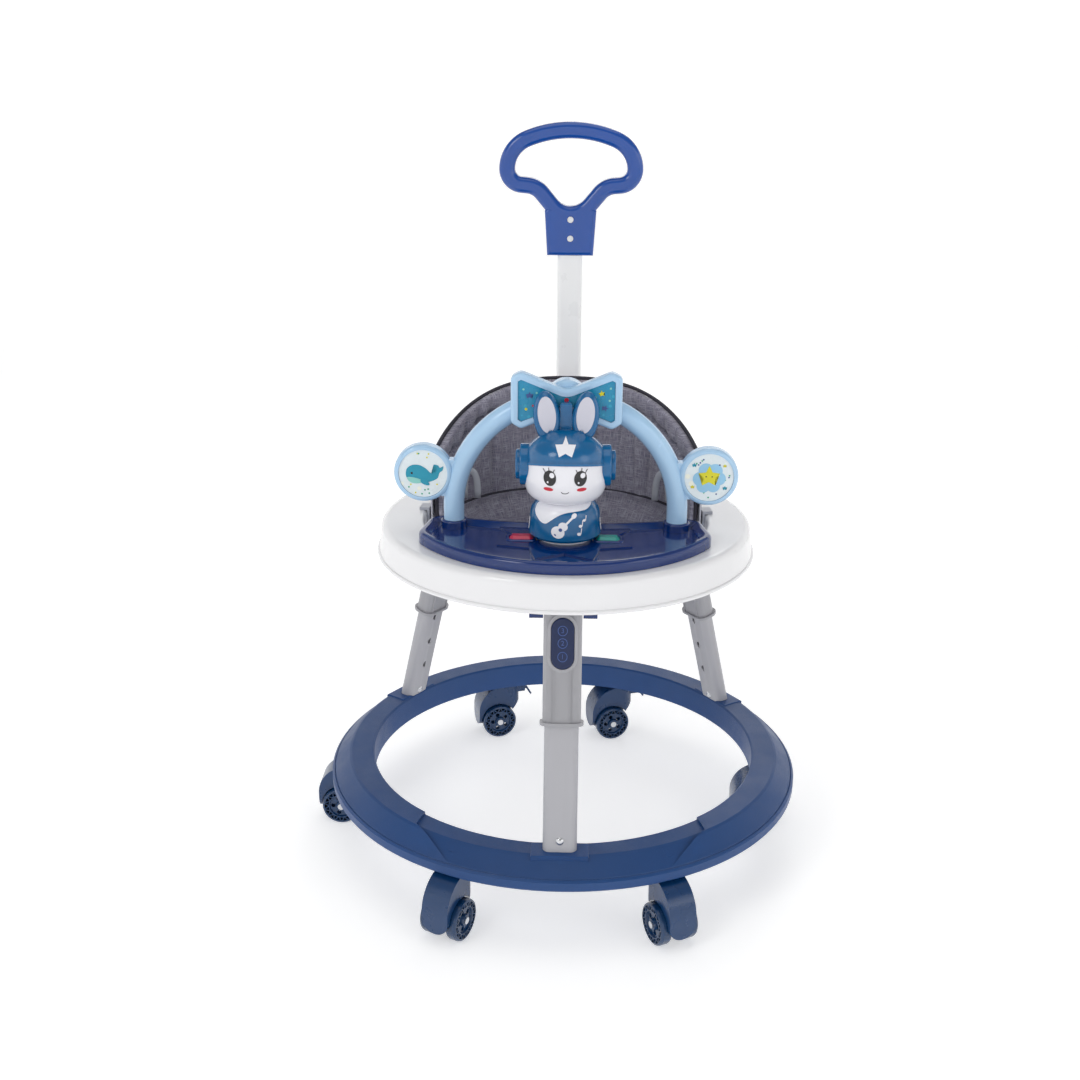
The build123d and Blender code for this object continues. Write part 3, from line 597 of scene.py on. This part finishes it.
def seat_bag():
    """The seat's cloth bag with its bottom, cut away under the toy tray and at the leg holes."""
    around_steps = 120
    bm = bmesh.new()
    grid = []
    for k in range(len(RINGS)):
        turns = [2 * math.pi * i / around_steps for i in range(around_steps)]
        grid.append([bm.verts.new(sling_point(k, t)) for t in turns])
    z, mid, radius = RINGS[-1]
    for shrink in (0.75, 0.5, 0.25):
        row = []
        for i in range(around_steps):
            t = 2 * math.pi * i / around_steps
            sag = 0.002 * (1 - shrink)
            row.append(
                bm.verts.new((shrink * radius * math.sin(t), mid + shrink * radius * math.cos(t), z - sag))
            )
        grid.append(row)
    for upper, lower in zip(grid, grid[1:]):
        for i in range(around_steps):
            j = (i + 1) % around_steps
            bm.faces.new((upper[i], upper[j], lower[j], lower[i]))
    bm.faces.new(grid[-1])
    front_top = SLING_HIGH.z - 0.012
    doomed = []
    for face in bm.faces:
        c = face.calc_center_median()
        if c.y < -0.052 and c.z > front_top:
            doomed.append(face)
        for side in (-1, 1):
            middle_point, along = hole_axis(side)
            away = c - middle_point
            if (away - along * away.dot(along)).length < HOLE_R and c.y < -0.02 and c.x * side > 0:
                doomed.append(face)
    bmesh.ops.delete(bm, geom=list(set(doomed)), context="FACES")
    for vert in bm.verts:
        for side in (-1, 1):
            middle_point, along = hole_axis(side)
            away = vert.co - middle_point
            across = away - along * away.dot(along)
            if vert.is_boundary and vert.co.y < -0.02 and abs(across.length - HOLE_R) < 0.008:
                vert.co += across.normalized() * (HOLE_R - across.length)
    mesh = bpy.data.meshes.new("seat_bag")
    bmesh.ops.recalc_face_normals(bm, faces=bm.faces)
    area = sum(face.calc_area() for face in bm.faces)
    bm.to_mesh(mesh)
    bm.free()
    obj = bpy.data.objects.new("seat_bag_blank", mesh)
    SCENE.collection.objects.link(obj)
    thick = obj.modifiers.new("thick", "SOLIDIFY")
    thick.thickness = SLING_SHEET
    thick.offset = 0
    obj.modifiers.new("smooth", "SUBSURF").levels = 1
    bake(obj)
    mesh = obj.data
    bpy.data.objects.remove(obj)
    bag = link("seat_bag", mesh, "tray", MATERIALS["seat_fabric"])
    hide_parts("seat_sling")
    for side in (-1, 1):
        points = []
        middle_point, along = hole_axis(side)
        across = along.cross(Vector((0, 0, 1))).normalized()
        upward = across.cross(along)
        for i in range(48):
            t = 2 * math.pi * i / 48
            start = middle_point + HOLE_R * (math.cos(t) * across + math.sin(t) * upward)
            hit = BAG_WALL.ray_cast(start - along * 0.08, along)[0]
            if hit:
                points.append(hit)
        name = "leg_binding_right" if side > 0 else "leg_binding_left"
        mesh = cord_mesh(name, points, 0.0022, closed=True)
        link(name, mesh, "tray", PIPING)


def bag_wall():
    """Search tree over the bag's whole wall, without its holes."""
    verts, faces, steps = [], [], 120
    for k in range(len(RINGS)):
        verts += [sling_point(k, 2 * math.pi * i / steps) for i in range(steps)]
    z, mid, _ = RINGS[-1]
    verts.append(Vector((0, mid, z - 0.002)))
    for k in range(len(RINGS) - 1):
        for i in range(steps):
            j = (i + 1) % steps
            faces.append((k * steps + i, k * steps + j, (k + 1) * steps + j, (k + 1) * steps + i))
    last = (len(RINGS) - 1) * steps
    faces += [(last + i, last + (i + 1) % steps, len(verts) - 1) for i in range(steps)]
    return BVHTree.FromPolygons(verts, faces)


PIPING = moulded("piping_cloth", srgb(52, 50, 60), 0.8, 2600, 0.0003, 0.12)
WEBBING = moulded("webbing_cloth", srgb(186, 188, 194), 0.7, 2600, 0.0004, 0.1)
BAG_WALL = bag_wall()


# ---- printed motifs ----
def oval(x, z, rx, rz, lean=0.0, count=40):
    c, s = math.cos(math.radians(lean)), math.sin(math.radians(lean))
    ring = []
    for i in range(count):
        t = 2 * math.pi * i / count
        u, v = rx * math.cos(t), rz * math.sin(t)
        ring.append((x + u * c + v * s, z - u * s + v * c))
    return ring


def star(x, z, outer, inner, tips=5, turn=90.0):
    ring = []
    for i in range(2 * tips):
        r = inner if i % 2 else outer
        t = math.radians(turn + 180 * i / tips)
        ring.append((x + r * math.cos(t), z + r * math.sin(t)))
    return ring


def rounded(points, per=6):
    """Smooth closed outline through points."""
    count, ring = len(points), []
    for i in range(count):
        p0, p1, p2, p3 = (points[(i + k) % count] for k in (-1, 0, 1, 2))
        for j in range(per):
            t = j / per
            ring.append(tuple(
                0.5 * (2 * b + (c - a) * t + (2 * a - 5 * b + 4 * c - d) * t * t
                       + (3 * b - a - 3 * c + d) * t ** 3)
                for a, b, c, d in zip(p0, p1, p2, p3)
            ))
    return ring


def stroke(points, width):
    """Outline of a line of even width."""
    left, right = [], []
    for i, (x, z) in enumerate(points):
        x0, z0 = points[max(0, i - 1)]
        x1, z1 = points[min(len(points) - 1, i + 1)]
        length = math.hypot(x1 - x0, z1 - z0) or 1.0
        nx, nz = -(z1 - z0) / length * width / 2, (x1 - x0) / length * width / 2
        left.append((x + nx, z + nz))
        right.append((x - nx, z - nz))
    return left + right[::-1]


def text_shapes(text, size):
    """Triangles of a plain numeral, centred on zero."""
    curve = bpy.data.curves.new("numeral", "FONT")
    curve.body, curve.size = text, size
    curve.align_x, curve.align_y = "CENTER", "CENTER"
    obj = bpy.data.objects.new("numeral", curve)
    SCENE.collection.objects.link(obj)
    graph = bpy.context.evaluated_depsgraph_get()
    mesh = bpy.data.meshes.new_from_object(obj.evaluated_get(graph))
    shapes = [[(mesh.vertices[i].co.x, mesh.vertices[i].co.y) for i in p.vertices] for p in mesh.polygons]
    bpy.data.objects.remove(obj)
    return shapes


def decal(name, shapes, place, onto, body, material, lift=0.35, step=2.6):
    """Print laid on a surface: outlines in millimetres across X and Z, cast along +Y."""
    bm = bmesh.new()
    for outline in shapes:
        verts = [bm.verts.new((place[0] + x / 1000, -1.0, place[1] + z / 1000)) for x, z in outline]
        bm.faces.new(verts)
    bmesh.ops.triangulate(bm, faces=bm.faces)
    for _ in range(6):
        long_edges = [e for e in bm.edges if e.calc_length() > step / 1000]
        if not long_edges:
            break
        bmesh.ops.subdivide_edges(bm, edges=long_edges, cuts=1)
        bmesh.ops.triangulate(bm, faces=bm.faces)
    lost = []
    for vert in bm.verts:
        hit, normal, _, _ = onto.ray_cast(vert.co, Vector((0, 1, 0)))
        if hit is None:
            lost.append(vert)
            continue
        if normal.y > 0:
            normal = -normal
        vert.co = hit + normal * (lift / 1000)
    bmesh.ops.delete(bm, geom=lost, context="VERTS")
    for face in bm.faces:
        face.normal_update()
        if face.normal.y > 0:
            face.normal_flip()
    mesh = bpy.data.meshes.new(name)
    bm.to_mesh(mesh)
    bm.free()
    return link(name, mesh, body, material)


# ---- rabbit toy's painted parts ----
INK = {
    "black": moulded("black_ink", srgb(24, 24, 28), 0.25, 700, 0.00002, 0.05, 0.3),
    "white": moulded("white_ink", srgb(242, 242, 248), 0.25, 700, 0.00002, 0.02, 0.3, 0.0),
    "red": moulded("red_ink", srgb(206, 40, 60), 0.35, 700, 0.00002, 0.05),
    "lilac": moulded("lilac_ink", srgb(206, 206, 218), 0.35, 700, 0.00003, 0.03, 0.0, 0.0),
    "teal": moulded("teal_ink", srgb(24, 150, 178), 0.35, 700, 0.00002, 0.08),
    "mint": moulded("mint_ink", srgb(140, 208, 200), 0.35, 700, 0.00002, 0.08),
    "green": moulded("green_ink", srgb(40, 168, 130), 0.35, 700, 0.00002, 0.05),
    "yellow": moulded("yellow_ink", srgb(222, 216, 40), 0.35, 700, 0.00002, 0.05),
    "sky": moulded("sky_ink", srgb(150, 202, 234), 0.35, 700, 0.00002, 0.06),
    "navy": moulded("navy_ink", srgb(58, 86, 150), 0.4, 700, 0.00003, 0.05),
}


def rabbit_paint():
    face_low, face_high = span("rabbit_head")
    body_low, body_high = span("rabbit_body")
    ear_low, ear_high = span("rabbit_ears")
    middle_x = (face_low.x + face_high.x) / 2
    face, body_tree = surface_of("rabbit_head"), surface_of("rabbit_body")
    helmet, ears = surface_of("rabbit_helmet"), surface_of("rabbit_ears")
    eye_place = (middle_x, face_low.z + 0.0365)

    def on_face(name, shapes, ink, lift=0.35):
        decal(name, shapes, eye_place, face, "toy_tray", INK[ink], lift, 1.6)

    on_face("eyes", [oval(s * 17, 0, 7, 8.8, s * 4) for s in (-1, 1)], "black")
    glints = [oval(s * 17 + 2.4, 3.4, 2.7, 3.0) for s in (-1, 1)]
    glints += [oval(s * 17 - 2.2, -4.6, 1.0, 1.1) for s in (-1, 1)]
    on_face("eye_glints", glints, "white", 0.7)
    lashes = []
    for s in (-1, 1):
        for dx, lean in ((-3, -0.6), (1, 0.1), (5, 0.7)):
            x, z = s * 17 + s * dx, 8.2 - abs(dx - 1) * 0.45
            lash = [(x, z - 0.8), (x + s * lean * 2, z + 2.0), (x + s * lean * 3.6, z + 3.8)]
            lashes.append(stroke(lash, 0.8))
    on_face("lashes", lashes, "black", 0.45)
    on_face("cheeks", [oval(s * 18.5, -12.8, 5.4, 2.2, s * -3) for s in (-1, 1)], "red")
    bends = [math.radians(a) for a in range(-80, 81, 16)]
    smile = [(4.2 * math.sin(a), -14.6 - 2.6 * math.cos(a)) for a in bends]
    on_face("smile", [stroke(smile, 0.8)], "black")

    brim = span("rabbit_helmet")[0].z
    badge = (middle_x, brim + 0.040)
    squat = [(x, 0.86 * z) for x, z in star(0, 0, 12, 5.4)]
    decal("helmet_star", [squat], badge, helmet, "toy_tray", INK["white"])

    neck = body_high.z - 0.0004
    scarf = rounded([(-26, 0), (-33, -7), (-32, -13), (-27, -18.5), (-21, -19.5), (-15, -15), (-7, -9.5),
                     (2, -6.5), (14, -5.5), (25, -4.5), (28, 0), (0, 0.2)])
    scarf = [(x, min(0.0, z)) for x, z in scarf]
    decal("scarf", [scarf], (middle_x, neck), body_tree, "toy_tray", INK["white"], 0.8, 2.0)

    print_place = (middle_x, body_low.z)
    def on_body(name, shapes, lift, step=2.0, ink="white"):
        decal(name, shapes, print_place, body_tree, "toy_tray", INK[ink], lift, step)

    on_body("guitar_body", [oval(-7.5, 13.5, 7.6, 7.0, 20)], 0.35)
    on_body("guitar_waist", [oval(-1.8, 20.2, 5.4, 5.0, 20)], 0.38)
    on_body("guitar_neck", [stroke([(0.5, 22), (9.5, 31)], 2.4)], 0.42)
    on_body("guitar_head", [oval(10.5, 32, 3.2, 2.6, -40)], 0.46)
    holes = [oval(-4.6, 16.6, 2.0, 2.0), oval(-10.5, 10.5, 1.4, 0.8, 45)]
    on_body("guitar_hole", holes, 0.8, ink="navy")
    notes = [oval(18, 20, 2.1, 1.7, 20), oval(16.5, 11, 2.3, 1.8, 20), oval(22, 26, 1.7, 1.4, 20)]
    on_body("notes", notes, 0.35)
    stems = [((19.8, 20.2), (20.3, 26.4)), ((18.5, 11.2), (19.2, 17.4)), ((23.5, 26.2), (24, 31))]
    on_body("note_stems", [stroke(stem, 0.9) for stem in stems], 0.4)
    palm = [(40.6, 18.5), (47.6, 19.8), (48.6, 12), (47.4, 5.5), (42.4, 4.5), (40.4, 11)]
    hands = [rounded([(s * x, z) for x, z in palm]) for s in (-1, 1)]
    on_body("hands", hands, 0.4, 1.6)

    ear_mid = (middle_x, (ear_low.z + ear_high.z) / 2)
    inlays = [oval(s * 21.8, 0.5, 10.2, 21, s * 6.5) for s in (-1, 1)]
    decal("ear_inlays", inlays, ear_mid, ears, "toy_tray", INK["lilac"], 0.4)


# ---- prints on the discs and the bow ----
def disc_prints():
    low, high = span("disc_inlays")
    tree = surface_of("disc_inlays")
    radius = (high.z - low.z) / 2 * 1000
    mid_z = (low.z + high.z) / 2
    left, right = (low.x + radius / 1000, mid_z), (high.x - radius / 1000, mid_z)

    def on_disc(name, shapes, place, ink, lift=0.3):
        scaled = [[(x * radius, z * radius) for x, z in shape] for shape in shapes]
        decal(name, scaled, place, tree, "toy_tray", INK[ink], lift, 6)

    whale = rounded([
        (-0.70, -0.08), (-0.66, 0.20), (-0.44, 0.36), (-0.14, 0.36), (0.12, 0.22),
        (0.34, 0.02), (0.52, 0.06), (0.55, 0.22), (0.44, 0.38), (0.62, 0.36),
        (0.70, 0.26), (0.84, 0.32), (0.80, 0.14), (0.68, 0.04), (0.60, -0.18),
        (0.40, -0.30), (0.14, -0.36), (-0.30, -0.38), (-0.58, -0.30),
    ])
    on_disc("whale", [whale], left, "teal")
    belly = rounded([
        (-0.66, -0.16), (-0.40, -0.16), (-0.12, -0.24), (0.06, -0.36), (-0.30, -0.42),
        (-0.56, -0.34),
    ])
    on_disc("whale_belly", [belly], left, "mint", 0.5)
    fin = rounded([
        (-0.06, -0.20), (0.16, -0.26), (0.26, -0.48), (0.04, -0.46), (-0.10, -0.34),
    ])
    on_disc("whale_fin", [fin], left, "teal", 0.7)
    on_disc("whale_eye", [oval(-0.46, 0.02, 0.045, 0.045)], left, "black", 0.6)
    dice = random.Random(5)
    for name, ink, place in (("spots_green", "green", left), ("spots_yellow", "yellow", left),
                             ("spots_blue", "navy", right), ("spots_mint", "green", right)):
        dots = []
        while len(dots) < 6:
            t, r = dice.uniform(0, 2 * math.pi), dice.uniform(0.66, 0.88)
            x, z = r * math.cos(t), r * math.sin(t)
            if place is left and abs(z) < 0.42:
                continue
            dots.append(oval(x, z, 0.035, 0.035, count=14))
        on_disc(name, dots, place, ink)
    cloud = [
        (-0.36, -0.06, 0.30), (-0.14, 0.30, 0.30), (0.24, 0.28, 0.30), (0.40, -0.04, 0.28),
        (0.18, -0.34, 0.28), (-0.22, -0.36, 0.28), (0, 0, 0.38),
    ]
    for number, (x, z, r) in enumerate(cloud):
        on_disc(f"cloud_{number}", [oval(x, z, r, r)], right, "sky", 0.25 + 0.02 * number)
    on_disc("yellow_star", [star(0, 0.04, 0.46, 0.23)], right, "yellow", 0.6)
    face_dots = [oval(s * 0.12, 0.04, 0.028, 0.028, count=12) for s in (-1, 1)]
    on_disc("star_eyes", face_dots, right, "black", 0.8)
    small = [star(-0.62, 0.52, 0.10, 0.05), star(0.66, -0.44, 0.10, 0.05)]
    on_disc("small_stars", small, right, "teal", 0.4)
    tiny = [star(0.62, 0.50, 0.08, 0.04), star(-0.66, -0.40, 0.09, 0.045)]
    on_disc("tiny_stars", tiny, right, "yellow", 0.4)


def bow_prints():
    low, high = span("bow_inlay")
    tree = surface_of("bow_inlay")
    place = ((low.x + high.x) / 2, (low.z + high.z) / 2)

    def on_bow(name, shapes, ink):
        decal(name, shapes, place, tree, "toy_tray", INK[ink], 0.3, 6)

    on_bow("bow_stars", [star(-42, 6, 4.6, 2.1), star(44, -8, 4.2, 1.9, turn=70)], "navy")
    on_bow("bow_yellow", [star(40, 9, 3.8, 1.8, turn=100), oval(-46, -10, 1.6, 1.6)], "yellow")
    on_bow("bow_red", [oval(0, 1, 2.6, 2.6), oval(-38, -6, 1.4, 1.4)], "red")
    dots = ((-49, 13), (50, 15), (33, -3), (-34, 9), (49, 1))
    on_bow("bow_dots", [oval(x, z, 1.3, 1.3, count=16) for x, z in dots], "mint")


# ---- level numbers on the height button ----
LEVEL_RING_OUT, LEVEL_RING_IN = 5.6, 4.8


def level_marks():
    low, high = span("height_button")
    tree = surface_of("height_button")
    middle_x = (low.x + high.x) / 2
    for number, share in ((1, 0.26), (2, 0.52), (3, 0.76)):
        place = (middle_x, low.z + (high.z - low.z) * share)
        ring = oval(0, 0, 1, 1)
        hollow = []
        for (x0, z0), (x1, z1) in zip(ring, ring[1:] + ring[:1]):
            outer, inner = LEVEL_RING_OUT, LEVEL_RING_IN
            hollow.append([(outer * x0, outer * z0), (outer * x1, outer * z1),
                           (inner * x1, inner * z1), (inner * x0, inner * z0)])
        digits = text_shapes(str(number), 7.5)
        decal(f"level_ring_{number}", hollow, place, tree, "height_button", INK["navy"], 0.3)
        decal(f"level_{number}", digits, place, tree, "height_button", INK["navy"], 0.3)


seat_pad()
seat_trim()
seat_bag()
rabbit_paint()
disc_prints()
bow_prints()
level_marks()


# ---- light, floor and camera ----
STAGE_R, STAGE_CURVE, STAGE_WALL = 4.2, 1.6, 3.4
STAGE_GLOW = 0.44


def floor():
    """Round pale floor that curves up into a wall on every side."""
    profile = [(0.0, 0.0), (1.0, 0.0), (2.5, 0.0), (STAGE_R, 0.0)]
    for k in range(1, 13):
        t = math.pi / 2 * k / 12
        profile.append((STAGE_R + STAGE_CURVE * math.sin(t), STAGE_CURVE * (1 - math.cos(t))))
    profile.append((STAGE_R + STAGE_CURVE, STAGE_WALL))
    steps = 96
    verts, faces = [], []
    for r, z in profile:
        for i in range(steps):
            t = 2 * math.pi * i / steps
            verts.append((r * math.cos(t), r * math.sin(t), z))
    for k in range(len(profile) - 1):
        for i in range(steps):
            j = (i + 1) % steps
            faces.append((k * steps + i, k * steps + j, (k + 1) * steps + j, (k + 1) * steps + i))
    mesh = mesh_of("floor", verts, faces)
    bm = bmesh.new()
    bm.from_mesh(mesh)
    for face in bm.faces:
        if face.normal.dot(Vector((0, 0, 1)) - face.calc_center_median() * 0.1) < 0:
            face.normal_flip()
    bm.to_mesh(mesh)
    bm.free()
    obj = bpy.data.objects.new("floor", mesh)
    SCENE.collection.objects.link(obj)
    g = Graph("floor_paint")
    tone = g.mix(g.noise(g.position(), 2, 4), (0.84, 0.84, 0.84, 1), (0.88, 0.88, 0.88, 1))
    g.join(tone, g.shader.inputs["Base Color"])
    g.shader.inputs["Roughness"].default_value = 0.8
    g.shader.inputs["Specular IOR Level"].default_value = 0.1
    g.shader.inputs["Emission Color"].default_value = (1, 1, 1, 1)
    g.shader.inputs["Emission Strength"].default_value = STAGE_GLOW
    mesh.materials.append(g.material)
    for face in mesh.polygons:
        face.use_smooth = True


def area_light(name, place, aim, size, power):
    data = bpy.data.lights.new(name, "AREA")
    data.shape, data.size, data.energy = "DISK", size, power
    obj = bpy.data.objects.new(name, data)
    obj.location = place
    obj.rotation_mode = "QUATERNION"
    obj.rotation_quaternion = (Vector(aim) - Vector(place)).to_track_quat("-Z", "Y")
    SCENE.collection.objects.link(obj)


def studio():
    world = bpy.data.worlds.new("studio")
    SCENE.world = world
    world.use_nodes = True
    background = world.node_tree.nodes["Background"]
    background.inputs["Color"].default_value = (1, 1, 1, 1)
    background.inputs["Strength"].default_value = 0.3
    aim = (0, 0, 0.45)
    area_light("key", (-1.7, -1.9, 2.4), aim, 1.1, 13)
    area_light("fill", (2.1, -1.5, 1.5), aim, 1.2, 4)
    area_light("back", (0.5, 2.3, 2.2), aim, 1.2, 8)
    area_light("overhead", (0, 0, 3.2), aim, 2.6, 15)
    SCENE.view_settings.view_transform = "Standard"


CAMERA_AZIMUTH, CAMERA_ELEVATION, CAMERA_ROLL = 1.5, 19.16, 0.385
CAMERA_LENS, CAMERA_DISTANCE = 45.81, 1.714
AIM_SIDE, AIM_HEIGHT = -0.0315, 0.3948


def camera():
    a, e = math.radians(CAMERA_AZIMUTH), math.radians(CAMERA_ELEVATION)
    back = Vector((math.sin(a) * math.cos(e), -math.cos(a) * math.cos(e), math.sin(e)))
    right = Vector((math.cos(a), math.sin(a), 0))
    up = back.cross(right)
    roll = math.radians(CAMERA_ROLL)
    right, up = (
        math.cos(roll) * right + math.sin(roll) * up,
        math.cos(roll) * up - math.sin(roll) * right,
    )
    aim = Vector((AIM_SIDE * math.cos(a), AIM_SIDE * math.sin(a), AIM_HEIGHT))
    data = bpy.data.cameras.new("camera")
    data.lens = CAMERA_LENS
    obj = bpy.data.objects.new("camera", data)
    obj.matrix_world = Matrix.Translation(aim + back * CAMERA_DISTANCE) @ Matrix(
        (right, up, back)
    ).transposed().to_4x4()
    SCENE.collection.objects.link(obj)
    SCENE.camera = obj


floor()
studio()
camera()
